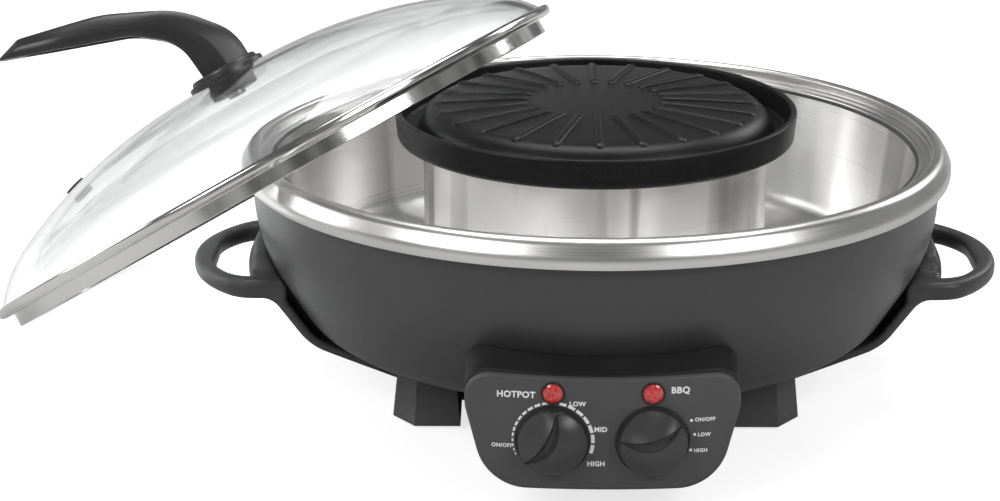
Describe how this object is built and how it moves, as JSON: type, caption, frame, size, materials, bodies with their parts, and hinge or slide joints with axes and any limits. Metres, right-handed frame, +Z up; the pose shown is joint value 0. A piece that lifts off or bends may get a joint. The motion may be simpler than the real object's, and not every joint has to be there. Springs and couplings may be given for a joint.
{
  "type": "electric hot pot",
  "caption": "Electric ring pot round a heated chimney with a round grill plate, side loop handles, front control panel and a loose domed glass lid.",
  "frame": {"origin": "on the pot's vertical axis, in the plane of the foot pads' undersides", "axes": "+Z up along the pot's axis, +X to the right-hand handle, -Y towards the control panel"},
  "size_m": [0.5521, 0.454, 0.2004],
  "materials": {
    "pot_steel": "polished stainless steel",
    "aluminium_plate": "rolled sheet",
    "grill_coating": "cast, black non-stick coating",
    "bowl_paint": "dark grey satin paint",
    "black_plastic": "fine texture",
    "foot_plastic": "coarse grain",
    "pad_rubber": "matt",
    "screw_steel": "zinc plated",
    "panel_plastic": "fine grain",
    "knob_plastic": "satin black",
    "control_plastic": "moulded resin",
    "lamp_red": "translucent red",
    "lamp_ring": "black",
    "heater_steel": "heat-dulled tube",
    "bracket_steel": "pressed sheet",
    "lead_insulation": "glass-fibre sleeve",
    "pin_brass": "nickel-plated brass",
    "lid_glass": "tempered, smoke tint",
    "band_steel": "polished",
    "seal_silicone": "silicone",
    "handle_plastic": "fine texture"
  },
  "bodies": {
    "base": {"heat_reflector": "aluminium_plate", "grill_reflector": "aluminium_plate", "outer_bowl": "bowl_paint", "right_handle_arm": "black_plastic", "left_handle_arm": "black_plastic", "base_plate": "black_plastic", "base_plate_spacers": "black_plastic", "control_housing": "black_plastic", "inlet_housing": "black_plastic", "power_inlet": "black_plastic", "foot_front_right": "foot_plastic", "foot_rear_right": "foot_plastic", "foot_front_left": "foot_plastic", "foot_rear_left": "foot_plastic", "foot_pad_front_right": "pad_rubber", "foot_pad_rear_right": "pad_rubber", "foot_pad_front_left": "pad_rubber", "foot_pad_rear_left": "pad_rubber", "base_plate_screws": "screw_steel", "foot_screws": "screw_steel", "handle_screws": "screw_steel", "housing_screws": "screw_steel", "control_nuts": "screw_steel", "control_panel": "panel_plastic", "thermostat": "control_plastic", "selector_switch": "control_plastic", "terminal_block": "control_plastic", "hotpot_lamp_lens": "lamp_red", "bbq_lamp_lens": "lamp_red", "hotpot_lamp_holder": "lamp_ring", "bbq_lamp_holder": "lamp_ring", "ring_heater": "heater_steel", "grill_heater": "heater_steel", "ring_heater_clips": "bracket_steel", "reflector_posts": "bracket_steel", "grill_heater_clips": "bracket_steel", "centre_column": "bracket_steel", "temperature_sensor": "bracket_steel", "thermal_fuse": "bracket_steel", "supply_leads": "lead_insulation", "heater_leads": "lead_insulation", "inlet_pins": "pin_brass"},
    "pot": {"inner_pot": "pot_steel", "centre_chimney": "pot_steel", "heat_spreader": "aluminium_plate"},
    "grill": {"grill_plate": "grill_coating"},
    "lid": {"lid_glass": "lid_glass", "lid_band": "band_steel", "lid_seal": "seal_silicone", "steam_vent": "band_steel", "lid_handle_base": "handle_plastic", "lid_washer": "band_steel", "lid_screw": "screw_steel", "lid_handle": "handle_plastic"},
    "thermostat_knob": {"hotpot_knob": "knob_plastic", "hotpot_shaft": "screw_steel"},
    "selector_knob": {"bbq_knob": "knob_plastic", "bbq_shaft": "screw_steel"}
  },
  "joints": [
    {"name": "pot_lift", "type": "slide", "parent": "base", "child": "pot", "axis": [0, 0, 1], "range_m": [0, 0.15]},
    {"name": "grill_lift", "type": "slide", "parent": "pot", "child": "grill", "axis": [0, 0, 1], "range_m": [0, 0.1]},
    {"name": "lid_lift", "type": "slide", "parent": "grill", "child": "lid", "axis": [0, 0, 1], "range_m": [0, 0.2]},
    {"name": "thermostat_turn", "type": "hinge", "parent": "base", "child": "thermostat_knob", "pos_m": [-0.024, -0.19218, 0.0378], "axis": [0.0686, 0.9976, 0], "range_deg": [0, 234]},
    {"name": "selector_turn", "type": "hinge", "parent": "base", "child": "selector_knob", "pos_m": [0.024, -0.19218, 0.0378], "axis": [-0.0686, 0.9976, 0], "range_deg": [0, 44]}
  ]
}
